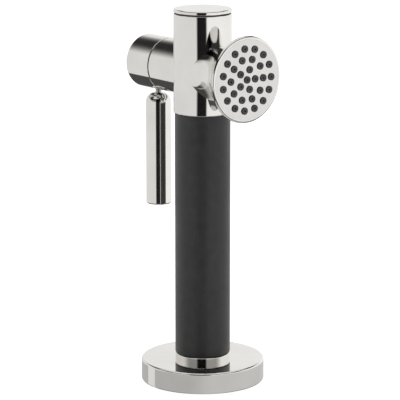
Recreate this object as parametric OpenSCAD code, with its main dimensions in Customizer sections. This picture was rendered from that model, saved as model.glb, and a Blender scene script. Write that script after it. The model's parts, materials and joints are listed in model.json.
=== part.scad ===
// Deck-mounted pull-out hand spray for rinsing. A round flange holds the spray upright.
// A rod hangs behind the grip, and squeezing it towards the grip opens the water valve.
// Millimetres. Z is up, the deck face of the flange is at z = 0, the spray looks along -Y.

/* [Flange] */
// Radius of the flange on the deck
flange_r = 31.1; // [29:0.1:34]
// Height of the flange
flange_h = 10.7; // [10.4:0.1:13]
// Rounding of the flange's top edge
flange_round = 0.9; // [0.4:0.1:2]
// Radius of the thread for the fixing shank, on the underside
shank_r = 14; // [13.5:0.5:15]
// Depth of that thread
shank_depth = 5.6; // [5:0.1:5.6]

/* [Grip] */
// Radius of the grip and of the collar that it stands on
grip_r = 13.9; // [13.2:0.1:14.2]
// Length of the grip
grip_length = 123.7; // [105:0.1:130]
// Height of the collar above the flange
collar_h = 2.8; // [1.8:0.1:3]

/* [Head] */
// Radius of the upright part of the head
head_r = 14.5; // [14:0.1:16]
// Height of the head with its cap
head_h = 52; // [48:0.5:56]
// Height of the barrel's axis above the bottom of the head
barrel_up = 20.6; // [19:0.1:22]
// Radius of the barrel that crosses the head
barrel_r = 13.5; // [12.7:0.1:13.8]
// Distance from the head's axis to the rear end of the barrel
rear_end = 45.6; // [45.4:0.1:48]
// Distance from the head's axis to the joint with the rear housing
rear_joint_out = 26.8; // [26:0.1:27]
// Thickness of the top cap's rim
cap_h = 1.8; // [1.4:0.1:2.6]

/* [Spray face] */
// Distance from the head's axis to the spray face
face_out = 34.4; // [33:0.1:36]
// Radius of the spray face with its rim
face_r = 21.4; // [21:0.1:23]
// Distance from the head's axis at which the barrel starts to flare
flare_start = 9; // [5:0.5:10]
// Shape of the flare: 1 is a straight cone, more is a later flare
flare_power = 2.2; // [1:0.1:3]
// Distance between the rings of nozzles
ring_step = 5.1; // [5:0.1:5.2]
// Number of rings round the centre nozzle
rings = 3; // [2:1:3]
// Outside radius of a nozzle
nozzle_r = 1.8; // [0.9:0.05:1.8]

/* [Lever] */
// Distance from the head's axis to the lever
lever_out = 35.9; // [35.8:0.1:36]
// Radius of the lever rod
rod_r = 6.5; // [5.5:0.1:7]
// Length of the lever rod
rod_length = 57.8; // [40:0.1:70]
// Rounding of the rod's shoulder
rod_shoulder = 4.9; // [2:0.1:4.9]
// Radius of the stem between the rod and the barrel
stem_r = 1.5; // [1.3:0.1:1.6]

/* [Hose connection] */
// Radius of the thread for the hose
hose_r = 7.5; // [7:0.1:7.5]
// Depth of the thread for the hose
hose_depth = 7; // [5:0.1:7]

/* [Hidden] */
$fn = 72;

// Colours
chrome = [0.82, 0.81, 0.79];
black_grip = [0.13, 0.13, 0.135];
brass = [0.72, 0.58, 0.28];
steel = [0.55, 0.55, 0.56];
rubber = [0.08, 0.08, 0.08];
white_plastic = [0.88, 0.88, 0.86];
dark_silicone = [0.18, 0.18, 0.19];

// Clearances and small shapes that many parts share
running = 0.05;
loose = 0.1;
dock_gap = 0.2;
cut = 1;
small_round = 0.4;
oring_r = 0.52;
groove_w = 1.4;

// Heights of the stack on the deck
collar_top = flange_h + collar_h;
grip_bottom = collar_top + dock_gap;
grip_top = grip_bottom + grip_length;
head_top = grip_top + head_h;
barrel_z = grip_top + barrel_up;
cap_bottom = head_top - cap_h;
gasket_h = 0.7;
gasket_inset = 0.4;
body_top = cap_bottom - gasket_h;
cap_spigot_r = 10.95;
cap_spigot_h = 7;
cap_pocket_h = 8;

// Dock: a collar in the flange and a bush that guides the tail
dock_r = 12.4;
bush_r = 11.6;
tail_r = 10.5;
tail_clear = 0.2;
dock_bottom = shank_depth + 0.2;
tail_bottom = dock_bottom + 0.4;
seal_in = 17.5;
seal_out = 27;
seal_h = 1.5;

// Hose fitting and the swivel inside the tail
ring_bottom = tail_bottom + 0.5;
ring_h = 0.8;
fitting_r = 9.4;
fitting_bottom = ring_bottom + ring_h + 0.2;
fitting_top = fitting_bottom + hose_depth + 1.1;
swivel_r = 6;
swivel_bore = 3.2;
swivel_top = fitting_top + 14.7;
swivel_groove_r = 4.88;
swivel_grooves = [fitting_top + 4.2, fitting_top + 9.2];

// Handle tube
tube_r = 10.9;
tube_bore = 7.5;
joint_bottom = grip_bottom + 15.1;
joint_top = joint_bottom + 8;
joint_r = 9.35;
tube_top = grip_top + 9;
joint_groove_z = joint_bottom + 4;
top_groove_z = grip_top + 5;

// Check valve in the handle tube
check_bottom = joint_top + 6;
check_top = check_bottom + 16.5;
check_r = 7.4;
check_hole = 3.6;
check_disc_r = 5;
check_seat_h = 2;
check_face = check_bottom + check_seat_h + loose;
check_disc_bottom = check_face + 0.85;
check_disc_top = check_disc_bottom + 1.3;
check_stem_r = 1;
spider_h = 1.5;

// Barrel, measured along its axis: forward is positive
barrel_bore = 8;
rear_joint = -rear_joint_out;
rear_spigot_end = rear_joint - 5;
rear_spigot_r = 11;
front_joint = 16;
front_spigot_end = 21.6;
front_spigot_r = 10.6;

// Valve, measured the same way
seat_rear = 9;
seat_front = 14;
orifice_r = 4.2;
seat_lip = 0.6;
poppet_front = 7;
poppet_rear = 3.8;
poppet_r = 6;
seal_front = seat_rear - seat_lip - loose;
spindle_r = 2;
spindle_bore = 2.02;
spindle_front = 10.3;
guide_front = -14;
guide_shoulder = rear_spigot_end - running;
guide_rear = guide_shoulder - 0.85;
guide_r = 7.93;
spring_pocket_end = -18.7;
spring_pocket_r = 5.2;
spring_r = 4.3;
spring_wire = 0.5;
spring_rear = -16.9;
guide_groove = -27;
spindle_groove = -22;

// Lever mechanism
pivot_up = -6.5;
pivot_z = barrel_z + pivot_up;
pin_r = 1.5;
pin_half = 7.3;
housing_bore = 11.05;
housing_wall = 2;
yoke_r = 10.95;
yoke_front = 0.3 - guide_rear;
yoke_rear = rear_end - housing_wall - 0.2;
yoke_slot = 4.6;
yoke_slot_top = 5.5;
rocker_half = 4.2;
fork_half = 2.3;
hub_r = 2.8;
cam_r = 2;
arm_half = 1.6;
boss_r = 2.3;
boss_bottom = pivot_z - 3.7;
stem_top = pivot_z - 1.8;
rod_top = barrel_z - 15.4;
rod_bottom = rod_top - rod_length;
nut_r = 4.1;
nut_gap = 0.3;
nut_front = lever_out + cam_r + nut_gap;
spindle_end = nut_front + 3;

// Spray bell and what it holds
bell_wall = 1.7;
face_round = 1;
plate_r = face_r - 1.6;
plate_h = 1.6;
mat_h = 1.4;
plate_back = face_out - plate_h;
mat_r = plate_r - 2.2;
mat_back = plate_back - mat_h;
screen_h = 0.5;
diffuser_h = 1.6;
diffuser_r = mat_r - 1.5;
diffuser_back = mat_back - screen_h - diffuser_h;
nozzle_out = 0.5;
inner_pitch = 0.95;
nozzle_bore = 0.45;

// ---- Shared shapes ----

// Points on an arc, as [radius, height] pairs
function arc(centre_r, centre_z, r, from, to, steps = 6) =
    [for (i = [0:steps]) let (a = from + (to - from) * i / steps)
        [centre_r + r * cos(a), centre_z + r * sin(a)]];

// Radius of the outside of the bell at a distance along the barrel
function flare(s) = barrel_r + (face_r - barrel_r)
    * pow((s - flare_start) / (face_out - face_round - flare_start), flare_power);

// Outline of the flare between two distances
function flare_points(from, to, steps = 8) =
    [for (i = [0:steps]) let (s = from + (to - from) * i / steps) [flare(s), s]];

// Every nozzle's place on the spray face: one in the middle, then rings of 5, 10 and 15
nozzle_places = concat([[0, 0]], [for (k = [1:rings], i = [0:5 * k - 1])
    ring_step * k * [cos(i * 72 / k), sin(i * 72 / k)]]);

// A body turned about Z from an outline of [radius, height] points
module turned(points) rotate_extrude() polygon(points);

// A plain tube about Z
module tube(outer, inner, low, high)
    turned([[inner, low], [outer, low], [outer, high], [inner, high]]);

// A rubber ring about Z
module oring(inner, height, wire = oring_r)
    translate([0, 0, height]) rotate_extrude() translate([inner + wire, 0]) circle(r = wire, $fn = 24);

// Turns a part made along Z so that it lies along the barrel, forward from the head's axis
module on_barrel() translate([0, 0, barrel_z]) rotate([90, 0, 0]) children();

// A cylinder along X through the lever's plane
module across(r, half, y, z)
    translate([-half, y, z]) rotate([0, 90, 0]) cylinder(r = r, h = 2 * half);

// A coil spring about Z, swept as rings of points along a helix
module coil(r, wire, low, high, turns, steps = 16, sides = 8) {
    count = turns * steps;
    points = [for (i = [0:count], j = [0:sides - 1])
        let (a = 360 * i / steps, b = 360 * j / sides, rr = r + wire * cos(b))
        [rr * cos(a), rr * sin(a), low + wire + (high - low - 2 * wire) * i / count + wire * sin(b)]];
    side_faces = [for (i = [0:count - 1], j = [0:sides - 1]) let (k = (j + 1) % sides)
        [(i + 1) * sides + j, (i + 1) * sides + k, i * sides + k, i * sides + j]];
    ends = [[for (j = [0:sides - 1]) j], [for (j = [sides - 1:-1:0]) count * sides + j]];
    polyhedron(points, concat(side_faces, ends));
}

// ---- Dock on the deck ----

module flange() color(chrome)
    turned(concat(
        [[shank_r, 0], [seal_in, 0], [seal_in, seal_h], [seal_out, seal_h], [seal_out, 0]],
        arc(flange_r - small_round, small_round, small_round, -90, 0, 3),
        arc(flange_r - flange_round, flange_h - flange_round, flange_round, 0, 90),
        [[dock_r, flange_h], [dock_r, shank_depth], [shank_r, shank_depth]]));

module flange_seal() color(rubber) tube(seal_out - loose, seal_in + loose, 0, seal_h);

module dock_collar() color(chrome)
    turned(concat(
        [[bush_r, dock_bottom], [dock_r, dock_bottom], [dock_r, flange_h], [grip_r, flange_h]],
        arc(grip_r - small_round, collar_top - small_round, small_round, 0, 90, 4),
        [[bush_r, collar_top]]));

module guide_bush() color(white_plastic)
    turned([[tail_r + tail_clear, dock_bottom], [bush_r, dock_bottom], [bush_r, collar_top - loose],
            [tail_r + 2 * tail_clear, collar_top - loose], [tail_r + tail_clear, collar_top - 0.5]]);

// ---- Hose fitting, on which the spray swivels ----

module hose_fitting() color(brass) difference() {
    union() {
        tube(fitting_r, swivel_bore, fitting_bottom, fitting_top);
        tube(swivel_r, swivel_bore, fitting_top - cut, swivel_top);
    }
    translate([0, 0, fitting_bottom - cut]) cylinder(r = hose_r, h = hose_depth + cut);
    for (z = swivel_grooves) tube(swivel_r + cut, swivel_groove_r, z - groove_w / 2, z + groove_w / 2);
}

module swivel_orings() color(rubber) for (z = swivel_grooves) oring(swivel_groove_r, z);

module inlet_strainer() color(steel) difference() {
    translate([0, 0, fitting_top]) cylinder(r = swivel_bore - running, h = 0.6);
    for (i = [0:5]) rotate(60 * i) translate([1.9, 0, fitting_top - cut]) cylinder(r = 0.6, h = 3);
    translate([0, 0, fitting_top - cut]) cylinder(r = 0.6, h = 3);
}

// ---- Handle ----

module tail_socket() color(chrome) difference() {
    union() {
        tube(tail_r, swivel_r, tail_bottom, grip_bottom + cut);
        tube(tube_r, swivel_r, grip_bottom, joint_bottom);
        tube(joint_r, swivel_r, joint_bottom - cut, joint_top);
    }
    translate([0, 0, tail_bottom - cut])
        cylinder(r = fitting_r + running, h = fitting_top + loose - tail_bottom + cut);
    cylinder(r = swivel_r + running, h = joint_top + cut);
    translate([0, 0, swivel_top + 0.5]) cylinder(r = joint_r - 2, h = joint_top);
    translate([0, 0, ring_bottom - running]) cylinder(r = tail_r - 0.5, h = ring_h + 2 * running);
    tube(joint_r + cut, joint_r - 1, joint_groove_z - groove_w / 2, joint_groove_z + groove_w / 2);
}

module retaining_ring() color(steel) difference() {
    tube(tail_r - 0.55, hose_r + 0.4, ring_bottom, ring_bottom + ring_h);
    translate([0, -2, ring_bottom - cut]) cube([tail_r, 4, 3]);
}

module grip_sleeve() color(black_grip)
    turned(concat(
        [[tube_r + running, grip_bottom]],
        arc(grip_r - small_round, grip_bottom + small_round, small_round, -90, 0, 4),
        arc(grip_r - small_round, grip_top - small_round, small_round, 0, 90, 4),
        [[tube_r + running, grip_top]]));

module handle_tube() color(brass) difference() {
    tube(tube_r, tube_bore, joint_bottom, tube_top);
    translate([0, 0, joint_bottom - cut])
        cylinder(r = joint_r + running, h = joint_top + loose - joint_bottom + cut);
    tube(tube_r + cut, tube_r - 1, top_groove_z - groove_w / 2, top_groove_z + groove_w / 2);
}

module tube_orings() color(rubber) {
    oring(joint_r - 1, joint_groove_z);
    oring(tube_r - 1, top_groove_z);
}

// ---- Check valve in the handle ----

module check_valve_body() color(white_plastic) difference() {
    translate([0, 0, check_bottom]) cylinder(r = check_r, h = check_top - check_bottom);
    translate([0, 0, check_bottom - cut]) cylinder(r = check_hole, h = check_seat_h + 2 * cut);
    translate([0, 0, check_bottom + check_seat_h])
        cylinder(r = check_r - 1.4, h = check_top - spider_h - check_bottom - check_seat_h);
    translate([0, 0, check_top - spider_h - cut])
        cylinder(r = check_stem_r + running, h = spider_h + 2 * cut);
    for (i = [0:4]) rotate(72 * i) translate([3.9, 0, check_top - spider_h - cut])
        cylinder(r = 1.5, h = spider_h + 2 * cut);
}

module check_valve_poppet() color(white_plastic)
    turned([[0, check_disc_bottom], [check_disc_r, check_disc_bottom], [check_disc_r, check_disc_top],
            [check_stem_r, check_disc_top], [check_stem_r, check_top], [0, check_top]]);

module check_valve_seal() color(rubber)
    tube(check_disc_r, check_hole - 0.8, check_face, check_disc_bottom);

module check_valve_spring() color(steel)
    coil(2.6, 0.3, check_disc_top + loose, check_top - spider_h - loose, 6);

// ---- Head ----

module head_body() color(chrome) difference() {
    union() {
        turned(concat([[0, grip_top]],
            arc(head_r - small_round, grip_top + small_round, small_round, -90, 0, 4),
            arc(head_r - small_round / 2, body_top - small_round / 2, small_round / 2, 0, 90, 3),
            [[0, body_top]]));
        on_barrel() turned(concat(
            [[0, rear_spigot_end], [rear_spigot_r, rear_spigot_end], [rear_spigot_r, rear_joint]],
            arc(barrel_r - small_round / 2, rear_joint + small_round / 2, small_round / 2, -90, 0, 3),
            flare_points(flare_start, front_joint),
            [[front_spigot_r, front_joint], [front_spigot_r, front_spigot_end], [0, front_spigot_end]]));
    }
    translate([0, 0, grip_top - cut]) cylinder(r = tube_r + running, h = tube_top - grip_top + loose + cut);
    translate([0, 0, grip_top]) cylinder(r = tube_bore, h = head_h - 10);
    translate([0, 0, body_top - cap_pocket_h]) cylinder(r = cap_spigot_r + running, h = cap_pocket_h + cut);
    on_barrel() translate([0, 0, rear_spigot_end - cut])
        cylinder(r = barrel_bore, h = front_spigot_end - rear_spigot_end + 2 * cut);
    on_barrel() tube(front_spigot_r + cut, front_spigot_r - 1, front_joint + 1.6, front_joint + 1.6 + groove_w);
}

module top_cap() color(chrome) difference() {
    turned(concat(
        [[0, body_top - cap_spigot_h], [cap_spigot_r, body_top - cap_spigot_h],
         [cap_spigot_r, cap_bottom]],
        arc(head_r - small_round / 2, cap_bottom + small_round / 2, small_round / 2, -90, 0, 3),
        arc(head_r - 0.7, head_top - 0.7, 0.7, 0, 90, 5),
        [[0, head_top]]));
    translate([0, 0, body_top - cap_spigot_h - cut]) cylinder(r = cap_spigot_r - 2.4, h = cap_spigot_h);
}

module top_cap_gasket() color(rubber)
    tube(head_r - gasket_inset, cap_spigot_r + running, body_top, cap_bottom);

module valve_seat() color(brass) on_barrel() difference() {
    union() {
        tube(guide_r, orifice_r, seat_rear, seat_front);
        tube(orifice_r + 0.8, orifice_r, seat_rear - seat_lip, seat_rear + cut);
    }
    tube(guide_r + cut, guide_r - 1, seat_rear + 2.5 - groove_w / 2, seat_rear + 2.5 + groove_w / 2);
}

module valve_seat_oring() color(rubber) on_barrel() oring(guide_r - 1, seat_rear + 2.5);

module spindle_guide() color(brass) on_barrel() difference() {
    union() {
        translate([0, 0, guide_shoulder]) cylinder(r = guide_r, h = guide_front - guide_shoulder);
        translate([0, 0, guide_rear]) cylinder(r = yoke_r - 0.2, h = guide_shoulder - guide_rear);
    }
    translate([0, 0, spring_pocket_end]) cylinder(r = spring_pocket_r, h = 10);
    translate([0, 0, guide_rear - cut]) cylinder(r = spindle_r + running, h = 20);
    tube(guide_r + cut, guide_r - 1, guide_groove - groove_w / 2, guide_groove + groove_w / 2);
    translate([0, 0, spindle_groove - groove_w / 2]) cylinder(r = spindle_r + 1.15, h = groove_w);
}

module spindle_guide_oring() color(rubber) on_barrel() oring(guide_r - 1, guide_groove);

module spindle_oring() color(rubber) on_barrel() oring(spindle_r + running, spindle_groove);

module rear_housing() color(chrome) difference() {
    on_barrel() turned(concat(
        [[0, -rear_end]],
        arc(barrel_r - 1, 1 - rear_end, 1, -90, 0),
        arc(barrel_r - small_round / 2, rear_joint - gasket_h - small_round / 2, small_round / 2, 0, 90, 3),
        [[housing_bore, rear_joint - gasket_h], [housing_bore, housing_wall - rear_end],
         [0, housing_wall - rear_end]]));
    for (y = [lever_out, lever_out - 1.8]) translate([0, y, barrel_z - barrel_r - cut])
        cylinder(r = stem_r + 0.4, h = barrel_r);
    translate([-stem_r - 0.4, lever_out - 1.8, barrel_z - barrel_r - cut])
        cube([2 * stem_r + 0.8, 1.8, barrel_r]);
}

module rear_housing_gasket() color(rubber) on_barrel()
    tube(barrel_r - gasket_inset, rear_spigot_r + running, rear_joint - gasket_h, rear_joint);

// ---- Lever mechanism in the rear of the barrel ----

module lever_yoke() color(brass) difference() {
    on_barrel() translate([0, 0, -yoke_rear]) cylinder(r = yoke_r, h = yoke_rear - yoke_front);
    translate([-yoke_slot, yoke_front - cut, barrel_z - barrel_r])
        cube([2 * yoke_slot, yoke_rear, barrel_r + yoke_slot_top]);
    across(pin_r, barrel_r, lever_out, pivot_z);
}

module pivot_pin() color(steel) across(pin_r, pin_half, lever_out, pivot_z);

module lever_rocker() color(steel) difference() {
    union() {
        across(hub_r, rocker_half, lever_out, pivot_z);
        across(cam_r, rocker_half, lever_out, barrel_z);
        translate([-rocker_half, lever_out - arm_half, pivot_z])
            cube([2 * rocker_half, 2 * arm_half, barrel_z - pivot_z]);
        translate([0, lever_out, boss_bottom]) cylinder(r = boss_r, h = pivot_z - boss_bottom);
    }
    across(pin_r + running, barrel_r, lever_out, pivot_z);
    translate([-fork_half, 0, pivot_z + hub_r]) cube([2 * fork_half, rear_end, barrel_r]);
    translate([0, lever_out, boss_bottom - cut]) cylinder(r = stem_r, h = stem_top - boss_bottom + cut);
}

module lever_stem() color(steel)
    translate([0, lever_out, rod_top - 10]) cylinder(r = stem_r, h = stem_top - rod_top + 10);

module lever_rod() color(chrome) translate([0, lever_out, 0]) difference() {
    turned(concat([[0, rod_bottom]],
        arc(rod_r - 0.8, rod_bottom + 0.8, 0.8, -90, 0, 5),
        arc(rod_r - rod_shoulder, rod_top - rod_shoulder, rod_shoulder, 0, 90, 10),
        [[0, rod_top]]));
    translate([0, 0, rod_top - 10]) cylinder(r = stem_r, h = 10 + cut);
}

// ---- Water valve ----

module valve_spindle() color(steel) on_barrel()
    translate([0, 0, -spindle_end]) cylinder(r = spindle_r, h = spindle_end + spindle_front);

module valve_poppet() color(brass) on_barrel() tube(poppet_r, spindle_bore, poppet_rear, poppet_front);

module poppet_seal() color(rubber) on_barrel() tube(poppet_r - 0.4, spindle_bore, poppet_front, seal_front);

module poppet_nut() color(brass) on_barrel() tube(orifice_r - 0.9, spindle_bore, seal_front, spindle_front);

module spindle_nut() color(brass) on_barrel() tube(nut_r, spindle_bore, -spindle_end, -nut_front);

module return_spring() color(steel) on_barrel()
    coil(spring_r, spring_wire, spring_rear, poppet_rear - loose, 7);

// ---- Spray bell ----

module bell_outline() {
    steps = 10;
    last = face_out - face_round;
    cavity = front_spigot_end + 0.5;
    inner = [for (i = [steps:-1:0]) let (s = cavity + (diffuser_back - cavity) * i / steps)
        [min(flare(s) - bell_wall, diffuser_r - 0.8), s]];
    polygon(concat(flare_points(front_joint, last, steps),
        arc(face_r - face_round, last, face_round, 15, 90, 5),
        [[plate_r + running, face_out], [plate_r + running, plate_back],
         [mat_r + running, plate_back], [mat_r + running, mat_back],
         [diffuser_r + running, mat_back], [diffuser_r + running, diffuser_back]],
        inner,
        [[front_spigot_r + running, cavity], [front_spigot_r + running, front_joint]]));
}

module spray_bell() color(chrome) on_barrel() rotate_extrude() bell_outline();

module bell_oring() color(rubber) on_barrel()
    oring(front_spigot_r - 1, front_joint + 1.6 + groove_w / 2);

module diffuser() color(white_plastic) on_barrel() difference() {
    translate([0, 0, diffuser_back]) cylinder(r = diffuser_r, h = diffuser_h);
    for (p = nozzle_places * inner_pitch) translate([p[0], p[1], diffuser_back - cut])
        cylinder(r = 1, h = diffuser_h + 2 * cut);
}

module filter_screen() color(steel) on_barrel() difference() {
    translate([0, 0, mat_back - screen_h]) cylinder(r = diffuser_r, h = screen_h);
    for (p = nozzle_places * inner_pitch) translate([p[0], p[1], mat_back - screen_h - cut])
        cylinder(r = 0.7, h = screen_h + 2 * cut);
}

module nozzle_mat() color(dark_silicone) on_barrel() difference() {
    union() {
        translate([0, 0, mat_back]) cylinder(r = mat_r, h = mat_h);
        for (p = nozzle_places) translate([p[0], p[1], mat_back + mat_h / 2])
            cylinder(r = nozzle_r, h = face_out + nozzle_out - mat_back - mat_h / 2);
    }
    for (p = nozzle_places) translate([p[0], p[1], mat_back - cut]) cylinder(r = nozzle_bore, h = 10);
}

module nozzle_plate() color(chrome) on_barrel() difference() {
    translate([0, 0, plate_back]) cylinder(r = plate_r, h = plate_h);
    for (p = nozzle_places) translate([p[0], p[1], plate_back - cut])
        cylinder(r = nozzle_r + running, h = plate_h + 2 * cut);
}

flange();
flange_seal();
dock_collar();
guide_bush();
hose_fitting();
swivel_orings();
inlet_strainer();
tail_socket();
retaining_ring();
grip_sleeve();
handle_tube();
tube_orings();
check_valve_body();
check_valve_poppet();
check_valve_seal();
check_valve_spring();
head_body();
top_cap();
top_cap_gasket();
valve_seat();
valve_seat_oring();
spindle_guide();
spindle_guide_oring();
spindle_oring();
rear_housing();
rear_housing_gasket();
lever_yoke();
pivot_pin();
spray_bell();
bell_oring();
diffuser();
filter_screen();
nozzle_mat();
nozzle_plate();
lever_rocker();
lever_stem();
lever_rod();
valve_spindle();
valve_poppet();
poppet_seal();
poppet_nut();
spindle_nut();
return_spring();
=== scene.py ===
"""Studio scene for a deck-mounted pull-out hand spray: finishes, light and camera.

Metres, Z up. The spray face looks along -Y and the squeeze lever hangs on the +Y side.
"""
import json
import math

import bpy
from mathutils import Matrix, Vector


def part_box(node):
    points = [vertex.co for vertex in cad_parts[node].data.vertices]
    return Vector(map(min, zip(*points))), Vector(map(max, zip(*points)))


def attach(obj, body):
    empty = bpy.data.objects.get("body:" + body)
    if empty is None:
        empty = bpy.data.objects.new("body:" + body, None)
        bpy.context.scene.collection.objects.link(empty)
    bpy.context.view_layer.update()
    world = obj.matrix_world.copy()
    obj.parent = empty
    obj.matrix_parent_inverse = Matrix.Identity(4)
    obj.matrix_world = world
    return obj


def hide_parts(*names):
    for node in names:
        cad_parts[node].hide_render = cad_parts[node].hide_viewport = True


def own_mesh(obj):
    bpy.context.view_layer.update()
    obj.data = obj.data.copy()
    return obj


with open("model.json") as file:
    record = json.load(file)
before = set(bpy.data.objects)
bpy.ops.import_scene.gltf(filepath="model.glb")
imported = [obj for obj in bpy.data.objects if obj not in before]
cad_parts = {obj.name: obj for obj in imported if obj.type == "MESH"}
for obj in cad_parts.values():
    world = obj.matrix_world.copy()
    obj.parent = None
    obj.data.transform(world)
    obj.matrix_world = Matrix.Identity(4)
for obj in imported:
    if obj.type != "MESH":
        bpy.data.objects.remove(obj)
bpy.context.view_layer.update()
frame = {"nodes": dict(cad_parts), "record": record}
nodes = frame["nodes"]
mounts = {mount["name"]: mount["dims"] for mount in frame["record"]["mounts"]}


def middle_of(node):
    low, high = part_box(node)
    return (low + high) / 2


BARREL_AXIS = middle_of("nozzle_plate")   # the barrel runs along Y through this point
LEVER_AXIS = middle_of("lever_rod")       # the lever rod is turned about Z through this point
UPRIGHT_AXIS = Vector((0, 0, 0))          # the dock, grip and cap are turned about Z here

# ---------------------------------------------------------------- camera

CAMERA_AZIMUTH = math.radians(38.9)   # to the left of the spray face
CAMERA_DISTANCE = 1.123               # from the object's axis, along the floor
CAMERA_HEIGHT = 0.342
CAMERA_PITCH = math.radians(12.5)     # downwards
LENS = 205.9
SENSOR_WIDTH = 36.0
VIEW_END = 20.0                       # nothing in the scene lies further from the camera
SHIFT_X = -0.0066
SHIFT_Y = -0.0033


def add_camera():
    data = bpy.data.cameras.new("camera")
    data.lens = LENS
    data.sensor_width = SENSOR_WIDTH
    data.shift_x = SHIFT_X
    data.shift_y = SHIFT_Y
    data.clip_end = VIEW_END
    camera = bpy.data.objects.new("camera", data)
    bpy.context.scene.collection.objects.link(camera)
    camera.location = (-CAMERA_DISTANCE * math.sin(CAMERA_AZIMUTH),
                       -CAMERA_DISTANCE * math.cos(CAMERA_AZIMUTH), CAMERA_HEIGHT)
    camera.rotation_euler = (math.pi / 2 - CAMERA_PITCH, 0.0, -CAMERA_AZIMUTH)
    bpy.context.scene.camera = camera


add_camera()

# ---------------------------------------------------------------- node helpers


def new_material(name, roughness=None, metallic=0.0):
    material = bpy.data.materials.new(name)
    material.use_nodes = True
    tree = material.node_tree
    shader = tree.nodes["Principled BSDF"]
    shader.inputs["Metallic"].default_value = metallic
    if roughness is not None:
        shader.inputs["Roughness"].default_value = roughness
    return material, tree, shader


def add(tree, kind, inputs=None, **settings):
    """A node with its settings, and the values of the sockets named in inputs."""
    node = tree.nodes.new(kind)
    for key, value in settings.items():
        setattr(node, key, value)
    for key, value in (inputs or {}).items():
        node.inputs[key].default_value = value
    return node


def object_place(tree):
    """Coordinates in metres that stay with the piece when its body moves."""
    return tree.nodes.new("ShaderNodeTexCoord").outputs["Object"]


def scaled(tree, vector, scale):
    node = add(tree, "ShaderNodeMapping", {"Scale": scale})
    tree.links.new(vector, node.inputs["Vector"])
    return node.outputs["Vector"]


def around(tree, middle, along):
    """Coordinates that stay the same round an axis: distance from it, and place along it."""
    offset = add(tree, "ShaderNodeVectorMath", {1: middle}, operation="SUBTRACT")
    tree.links.new(object_place(tree), offset.inputs[0])
    across = add(tree, "ShaderNodeVectorMath", {1: (1, 0, 1) if along == "Y" else (1, 1, 0)},
                 operation="MULTIPLY")
    tree.links.new(offset.outputs["Vector"], across.inputs[0])
    radius = add(tree, "ShaderNodeVectorMath", operation="LENGTH")
    tree.links.new(across.outputs["Vector"], radius.inputs[0])
    split = tree.nodes.new("ShaderNodeSeparateXYZ")
    tree.links.new(offset.outputs["Vector"], split.inputs["Vector"])
    joined = tree.nodes.new("ShaderNodeCombineXYZ")
    tree.links.new(radius.outputs["Value"], joined.inputs["X"])
    tree.links.new(split.outputs[along], joined.inputs["Y"])
    return joined.outputs["Vector"]


def noise(tree, vector, scale, detail=3.0, distortion=0.0):
    """Soft noise with about so many lumps to the metre as scale says."""
    node = add(tree, "ShaderNodeTexNoise",
               {"Scale": scale, "Detail": detail, "Distortion": distortion})
    tree.links.new(vector, node.inputs["Vector"])
    return node.outputs["Fac"]


def ramp(tree, source, low, high, low_at=0.3, high_at=0.7):
    """Turns a value into a colour: low up to low_at, high from high_at on."""
    node = tree.nodes.new("ShaderNodeValToRGB")
    first, second = node.color_ramp.elements
    first.position, second.position = low_at, high_at
    first.color, second.color = low, high
    tree.links.new(source, node.inputs["Fac"])
    return node.outputs["Color"]


def grey(value):
    return (value, value, value, 1.0)


def blend(tree, kind, first, second, factor=1.0):
    node = add(tree, "ShaderNodeMix", data_type="RGBA", blend_type=kind)
    node.inputs["Factor"].default_value = factor
    for socket, source in (("A", first), ("B", second)):
        target = [i for i in node.inputs if i.name == socket and i.type == "RGBA"][0]
        tree.links.new(source, target)
    return [o for o in node.outputs if o.type == "RGBA"][0]


def relief(tree, shader, layers):
    """Stacks bumps on a shader. A layer is a height source, its depth in metres and its strength."""
    normal = None
    for height, depth, strength in layers:
        bump = add(tree, "ShaderNodeBump", {"Distance": depth, "Strength": strength})
        tree.links.new(height, bump.inputs["Height"])
        if normal:
            tree.links.new(normal, bump.inputs["Normal"])
        normal = bump.outputs["Normal"]
    tree.links.new(normal, shader.inputs["Normal"])


# ---------------------------------------------------------------- finishes


def polished_metal(name, middle, along, low=(0.80, 0.785, 0.755, 1), high=(0.86, 0.848, 0.822, 1),
                   gloss=(0.035, 0.085), polish_marks=0.10):
    """Polished warm nickel: faint clouding, wiped smears, dried water spots and polishing lines."""
    material, tree, shader = new_material(name, metallic=1.0)
    place = object_place(tree)
    tree.links.new(ramp(tree, noise(tree, place, 60.0, 4.0), low, high), shader.inputs["Base Color"])

    smears = ramp(tree, noise(tree, scaled(tree, place, (1.0, 1.0, 0.35)), 170.0, 6.0, 0.6),
                  grey(gloss[0]), grey(gloss[1]), 0.35, 0.75)
    spots = add(tree, "ShaderNodeTexVoronoi", {"Scale": 260.0, "Randomness": 1.0})
    tree.links.new(place, spots.inputs["Vector"])
    rings = ramp(tree, spots.outputs["Distance"], grey(0.05), grey(0.0), 0.10, 0.16)
    tree.links.new(blend(tree, "ADD", smears, rings), shader.inputs["Roughness"])

    lines = noise(tree, around(tree, middle, along), 5200.0, 2.0)
    hairs = noise(tree, scaled(tree, place, (1.0, 0.08, 0.5)), 3800.0, 2.0, 0.4)
    waves = noise(tree, place, 95.0, 1.0)
    relief(tree, shader, [(waves, 1.2e-4, 0.05), (lines, 8e-6, polish_marks), (hairs, 6e-6, 0.08)])
    return material


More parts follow.
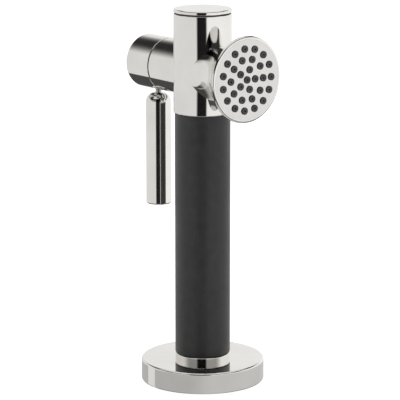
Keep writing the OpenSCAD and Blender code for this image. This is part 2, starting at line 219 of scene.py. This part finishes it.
def satin_grip():
    """Satin black moulded grip: fine spark grain, mottled gloss and rubbed patches."""
    material, tree, shader = new_material("satin_black")
    place = object_place(tree)
    mottle = ramp(tree, noise(tree, place, 220.0, 5.0), (0.020, 0.0195, 0.0197, 1),
                  (0.027, 0.0262, 0.0265, 1))
    streaks = ramp(tree, noise(tree, scaled(tree, place, (1.0, 1.0, 0.12)), 420.0, 3.0),
                   grey(0.86), grey(1.0))
    tree.links.new(blend(tree, "MULTIPLY", mottle, streaks), shader.inputs["Base Color"])
    rubbed = ramp(tree, noise(tree, place, 48.0, 3.0, 0.5), grey(0.36), grey(0.44))
    tree.links.new(rubbed, shader.inputs["Roughness"])
    grain = noise(tree, place, 3600.0, 2.0)
    pores = noise(tree, place, 1300.0, 4.0)
    relief(tree, shader, [(pores, 3e-5, 0.22), (grain, 1.5e-5, 0.30)])
    return material


def machined_metal(name, dull, bright, middle, along, gloss=(0.22, 0.34), groove_scale=3000.0):
    """Metal straight from the lathe: tool marks round its axis and a little tarnish."""
    material, tree, shader = new_material(name, metallic=1.0)
    place = object_place(tree)
    tarnish = ramp(tree, noise(tree, place, 130.0, 6.0, 0.8), dull, bright, 0.35, 0.62)
    marks = noise(tree, around(tree, middle, along), groove_scale, 3.0)
    shade = ramp(tree, marks, grey(0.90), grey(1.0), 0.35, 0.65)
    tree.links.new(blend(tree, "MULTIPLY", tarnish, shade), shader.inputs["Base Color"])
    tree.links.new(ramp(tree, noise(tree, place, 300.0, 4.0), grey(gloss[0]), grey(gloss[1])),
                   shader.inputs["Roughness"])
    relief(tree, shader, [(marks, 2e-5, 0.35)])
    return material


def moulded(name, low, high, gloss, grain_scale=1500.0, grain=0.25, clouds=180.0):
    """Moulded rubber or plastic: cloudy colour, uneven gloss and a fine surface grain."""
    material, tree, shader = new_material(name)
    place = object_place(tree)
    tree.links.new(ramp(tree, noise(tree, place, clouds, 5.0), low, high), shader.inputs["Base Color"])
    tree.links.new(ramp(tree, noise(tree, place, 400.0, 3.0), grey(gloss[0]), grey(gloss[1])),
                   shader.inputs["Roughness"])
    relief(tree, shader, [(noise(tree, place, grain_scale, 4.0), 3e-5, grain)])
    return material


def set_material(material, *names):
    """Puts a finish on CAD nodes through their objects' material slots."""
    for name in names:
        for slot in nodes[name].material_slots:
            slot.material = material


BRASS_DULL, BRASS_BRIGHT = (0.50, 0.34, 0.13, 1), (0.78, 0.58, 0.28, 1)
STEEL_DULL, STEEL_BRIGHT = (0.30, 0.30, 0.31, 1), (0.52, 0.52, 0.53, 1)

set_material(polished_metal("polished_nickel_upright", UPRIGHT_AXIS, "Z"),
             "flange", "dock_collar", "top_cap", "tail_socket")
set_material(polished_metal("polished_nickel_head", UPRIGHT_AXIS, "Z", polish_marks=0.05), "head_body")
set_material(polished_metal("polished_nickel_barrel", BARREL_AXIS, "Y"), "rear_housing", "spray_bell")
set_material(polished_metal("polished_nickel_rod", LEVER_AXIS, "Z"), "lever_rod")
set_material(polished_metal("polished_plate", BARREL_AXIS, "Y", (0.70, 0.69, 0.675, 1),
                            (0.76, 0.75, 0.735, 1), (0.10, 0.18)), "nozzle_plate")
set_material(satin_grip(), "grip_sleeve")
set_material(machined_metal("brass_upright", BRASS_DULL, BRASS_BRIGHT, UPRIGHT_AXIS, "Z"),
             "hose_fitting", "handle_tube")
brass_barrel = machined_metal("brass_barrel", BRASS_DULL, BRASS_BRIGHT, BARREL_AXIS, "Y")
set_material(brass_barrel, "valve_seat", "spindle_guide", "lever_yoke", "valve_poppet",
             "poppet_nut", "spindle_nut")
set_material(machined_metal("steel_barrel", STEEL_DULL, STEEL_BRIGHT, BARREL_AXIS, "Y", (0.16, 0.28)),
             "valve_spindle", "pivot_pin", "lever_rocker", "filter_screen", "return_spring")
steel_upright = machined_metal("steel_upright", STEEL_DULL, STEEL_BRIGHT, LEVER_AXIS, "Z", (0.16, 0.28))
set_material(steel_upright, "lever_stem", "inlet_strainer", "retaining_ring", "check_valve_spring")
# Black rubber for the seals and o-rings. On the top_cap_gasket and rear_housing_gasket rings it is
# painted shade: dark lines that stand in for the shade in the grooves under the top cap and at the rear
# housing's joint.
set_material(moulded("black_rubber_and_groove_shade", (0.012, 0.012, 0.012, 1), (0.026, 0.025, 0.024, 1), (0.50, 0.66)),
             "flange_seal", "swivel_orings", "tube_orings", "check_valve_seal", "top_cap_gasket",
             "rear_housing_gasket", "valve_seat_oring", "spindle_guide_oring", "spindle_oring",
             "bell_oring", "poppet_seal")
set_material(moulded("white_acetal", (0.70, 0.69, 0.66, 1), (0.80, 0.79, 0.765, 1), (0.30, 0.42),
                     grain=0.12), "guide_bush", "check_valve_body", "check_valve_poppet", "diffuser")
set_material(moulded("dark_silicone", (0.030, 0.030, 0.031, 1), (0.048, 0.047, 0.047, 1), (0.42, 0.55),
                     2400.0), "nozzle_mat")

# ---------------------------------------------------------------- threads in the two sockets

THREAD_PITCH = 1.5e-3
THREAD_DEPTH = 0.55e-3
THREAD_ROOT = 0.15e-3       # how far the ridge is sunk into the wall of the bore
THREAD_FOOT = 0.42          # half the width of the ridge at its foot, in pitches
THREAD_CREST = 0.06         # and at its crest
THREAD_STEPS = 64           # points in one turn
THREAD_LEAD = 0.25          # turns over which each end of the ridge fades out
END_FLAT = 0.02             # share of its depth that a faded end keeps


def add_thread(name, body, low, mount, material):
    """A ridge that winds up the wall of a mount's bore about Z, fading out at both ends."""
    radius = mount["r_mm"] / 1000
    high = low + mount["length_mm"] / 1000
    turns = (high - low) / THREAD_PITCH - 1
    count = int(turns * THREAD_STEPS)
    points, faces = [], []
    for i in range(count + 1):
        turn = i / THREAD_STEPS
        fade = max(END_FLAT, min(1.0, turn / THREAD_LEAD, (turns - turn) / THREAD_LEAD))
        angle = 2 * math.pi * turn
        height = low + THREAD_PITCH * (turn + 0.5)
        crest = THREAD_DEPTH * fade
        profile = ((-THREAD_ROOT, -THREAD_FOOT), (crest, -THREAD_CREST),
                   (crest, THREAD_CREST), (-THREAD_ROOT, THREAD_FOOT))
        for inward, up in profile:
            r = radius - inward
            points.append((r * math.cos(angle), r * math.sin(angle), height + up * THREAD_PITCH))
    sides = len(profile)
    for i in range(count):
        for j in range(sides):
            k = (j + 1) % sides
            faces.append((i * sides + j, i * sides + k, (i + 1) * sides + k, (i + 1) * sides + j))
    faces.append(tuple(range(sides)))
    faces.append(tuple(count * sides + j for j in reversed(range(sides))))
    mesh = bpy.data.meshes.new(name)
    mesh.from_pydata(points, [], [face[::-1] for face in faces])
    mesh.polygons.foreach_set("use_smooth", [False] * len(mesh.polygons))
    mesh.materials.append(material)
    piece = bpy.data.objects.new(name, mesh)
    bpy.context.scene.collection.objects.link(piece)
    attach(piece, body)


add_thread("shank_thread_ridge", "dock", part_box("flange")[0].z, mounts["shank_thread"],
           machined_metal("thread_nickel", (0.55, 0.54, 0.52, 1), (0.72, 0.71, 0.69, 1),
                          UPRIGHT_AXIS, "Z"))
add_thread("hose_thread_ridge", "hose_end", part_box("hose_fitting")[0].z, mounts["hose_inlet"],
           machined_metal("thread_brass", BRASS_DULL, BRASS_BRIGHT, UPRIGHT_AXIS, "Z"))

# ---------------------------------------------------------------- the check valve's spring


def add_check_spring():
    """The same coil as the CAD node, as a piece of its own that moves with the sprayer."""
    mesh = nodes["check_valve_spring"].data.copy()
    mesh.materials.clear()
    mesh.materials.append(steel_upright)
    piece = bpy.data.objects.new("check_valve_coil", mesh)
    bpy.context.scene.collection.objects.link(piece)
    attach(piece, "sprayer")
    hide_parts("check_valve_spring")
    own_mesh(piece)


add_check_spring()

# ---------------------------------------------------------------- floor and light

FLOOR_HALF = 6.0
FLOOR_Z = -2e-4          # just below the flange's underside, so the two faces don't share a plane
FLOOR_GREY = 0.5
FLOOR_GLOW = 0.72
FLOOR_ROUGHNESS = 0.9

# The studio that the polished metal mirrors. Angles are degrees above the floor's plane, or
# degrees round the object where the comment says so. Lights are shares of full brightness.
WARM_WHITE = (1.0, 0.995, 0.985, 1)
LEFT_WALL, RIGHT_WALL = 0.80, 1.0      # light of the walls to the left and right of the camera
SIDE_TURN = 0.5                        # sine of the angle at which each reaches its full light
WALL_TOP_BACK = 29.0                   # where the bright walls end, behind the object
WALL_TOP_FRONT = 15.0                  # and on the camera's side
TOP_TURN = (-0.3, 0.6)                 # cosines of the angle to the camera between which it falls
WALL_FADE = 8.0
CEILING = 0.035
OPEN_FROM, OPEN_FULL = 42.0, 50.0      # where a bright top opens in the ceiling
OPEN_LIGHT = 0.80
GAP_TURN = 4.0                         # how far round the dark gap lies to the left of the camera
GAP_HALF, GAP_FADE = 19.0, 4.0         # half its width, and half the width of its soft edge
GAP_LIGHT = 0.015
WALL_FOOT = -14.5                      # below it only the floor is mirrored
LOW_FOOT = -35.0                       # the same, in a low part of the walls
LOW_TURN = 114.0                       # how far round that part lies to the left of the camera
LOW_HALF, LOW_FADE = 9.0, 4.0
FOOT_FADE = 1.0
FAR_TO, FAR_LIGHT = -19.0, 0.62        # where the far floor ends, and its light
NEAR_FROM, NEAR_LIGHT = -28.0, 0.09    # where the floor round the object begins, and its light
BELOW_FROM, BELOW_FULL = -43.0, -51.0  # where the floor gets bright again, straight below
BELOW_LIGHT = 0.60


def add_floor():
    mesh = bpy.data.meshes.new("floor")
    corners = [(-FLOOR_HALF, -FLOOR_HALF, FLOOR_Z), (FLOOR_HALF, -FLOOR_HALF, FLOOR_Z),
               (FLOOR_HALF, FLOOR_HALF, FLOOR_Z), (-FLOOR_HALF, FLOOR_HALF, FLOOR_Z)]
    mesh.from_pydata(corners, [], [(0, 1, 2, 3)])
    floor = bpy.data.objects.new("floor", mesh)
    bpy.context.scene.collection.objects.link(floor)
    material, tree, shader = new_material("pale_floor", roughness=FLOOR_ROUGHNESS)
    shader.inputs["Base Color"].default_value = grey(FLOOR_GREY)
    shader.inputs["Specular IOR Level"].default_value = 0.0
    shader.inputs["Emission Color"].default_value = grey(1.0)
    shader.inputs["Emission Strength"].default_value = FLOOR_GLOW
    mesh.materials.append(material)
    floor.visible_glossy = False


def add_panel(name, azimuth, elevation, distance, size, power, target):
    """A soft square light at an angle round the object, measured like the camera's azimuth."""
    data = bpy.data.lights.new(name, "AREA")
    data.size = size
    data.energy = power
    light = bpy.data.objects.new(name, data)
    bpy.context.scene.collection.objects.link(light)
    a, e = math.radians(azimuth), math.radians(elevation)
    light.location = target + distance * Vector(
        (math.sin(a) * math.cos(e), -math.cos(a) * math.cos(e), math.sin(e)))
    light.rotation_euler = (target - light.location).to_track_quat("-Z", "Y").to_euler()
    light.visible_glossy = False


def map_range(tree, source, from_low, from_high, to_low, to_high):
    """Turns one range of values softly into another, level outside it."""
    node = add(tree, "ShaderNodeMapRange", interpolation_type="SMOOTHSTEP")
    for socket, value in zip(("From Min", "From Max", "To Min", "To Max"),
                             (from_low, from_high, to_low, to_high)):
        node.inputs[socket].default_value = value
    tree.links.new(source, node.inputs["Value"])
    return node.outputs["Result"]


def combine(tree, operation, first, second):
    node = add(tree, "ShaderNodeMath", operation=operation)
    tree.links.new(first, node.inputs[0])
    tree.links.new(second, node.inputs[1])
    return node.outputs["Value"]


def towards(tree, direction, degrees):
    """How far a level direction points to an azimuth, from -1 to 1."""
    a = math.radians(degrees)
    node = add(tree, "ShaderNodeVectorMath", {1: (math.sin(a), -math.cos(a), 0)},
               operation="DOT_PRODUCT")
    tree.links.new(direction, node.inputs[0])
    return node.outputs["Value"]


def sector(tree, level, azimuth, half, fade, outside, inside):
    """One value in a sector of the horizon and another outside it, with soft edges."""
    return map_range(tree, towards(tree, level, azimuth), math.cos(math.radians(half + fade)),
                     math.cos(math.radians(half - fade)), outside, inside)


def rise(degrees):
    """The height of a direction of length 1 at an angle above the floor's plane."""
    return math.sin(math.radians(degrees))


def set_world():
    """A pale studio: bright walls with a dark gap, and a dark ceiling with a bright top.

    Below the walls it gives the light that a pale floor sends back: bright far away and straight
    below, and darker between them.
    """
    world = bpy.data.worlds.new("studio")
    world.use_nodes = True
    tree = world.node_tree
    background = tree.nodes["Background"]
    direction = tree.nodes.new("ShaderNodeTexCoord").outputs["Generated"]
    split = tree.nodes.new("ShaderNodeSeparateXYZ")
    tree.links.new(direction, split.inputs["Vector"])
    up = split.outputs["Z"]
    flat = add(tree, "ShaderNodeVectorMath", {1: (1, 1, 0)}, operation="MULTIPLY")
    tree.links.new(direction, flat.inputs[0])
    level = add(tree, "ShaderNodeVectorMath", operation="NORMALIZE")
    tree.links.new(flat.outputs["Vector"], level.inputs[0])
    level = level.outputs["Vector"]

    camera_side = -math.degrees(CAMERA_AZIMUTH)
    gap = sector(tree, level, camera_side - GAP_TURN, GAP_HALF, GAP_FADE, 1.0, GAP_LIGHT)
    sides = map_range(tree, towards(tree, level, camera_side + 90), -SIDE_TURN, SIDE_TURN,
                      LEFT_WALL, RIGHT_WALL)
    walls = combine(tree, "MULTIPLY", gap, sides)
    wall_top = map_range(tree, towards(tree, level, camera_side), *TOP_TURN,
                         rise(WALL_TOP_BACK), rise(WALL_TOP_FRONT))
    above = combine(tree, "SUBTRACT", up, wall_top)
    ceiling = map_range(tree, above, -rise(WALL_FADE), rise(WALL_FADE), 1.0, CEILING)
    opening = map_range(tree, up, rise(OPEN_FROM), rise(OPEN_FULL), 0.0, OPEN_LIGHT)
    upper = combine(tree, "ADD", combine(tree, "MULTIPLY", walls, ceiling), opening)
    foot = sector(tree, level, camera_side - LOW_TURN, LOW_HALF, LOW_FADE,
                  rise(WALL_FOOT), rise(LOW_FOOT))
    below = combine(tree, "SUBTRACT", up, foot)
    floor = map_range(tree, up, rise(NEAR_FROM), rise(FAR_TO), NEAR_LIGHT, FAR_LIGHT)
    straight_down = map_range(tree, up, rise(BELOW_FULL), rise(BELOW_FROM), BELOW_LIGHT, 0.0)
    lower = combine(tree, "MULTIPLY", combine(tree, "ADD", floor, straight_down), sides)
    mix = add(tree, "ShaderNodeMix", data_type="FLOAT")
    tree.links.new(map_range(tree, below, -rise(FOOT_FADE), rise(FOOT_FADE), 0.0, 1.0),
                   mix.inputs["Factor"])
    tree.links.new(lower, mix.inputs["A"])
    tree.links.new(upper, mix.inputs["B"])
    background.inputs["Color"].default_value = WARM_WHITE
    tree.links.new(mix.outputs["Result"], background.inputs["Strength"])
    bpy.context.scene.world = world


bpy.context.scene.view_settings.view_transform = "Standard"
add_floor()
set_world()
add_panel("top_panel", azimuth=0, elevation=89, distance=1.6, size=2.5, power=30.0,
          target=Vector((0, 0, 0.1)))
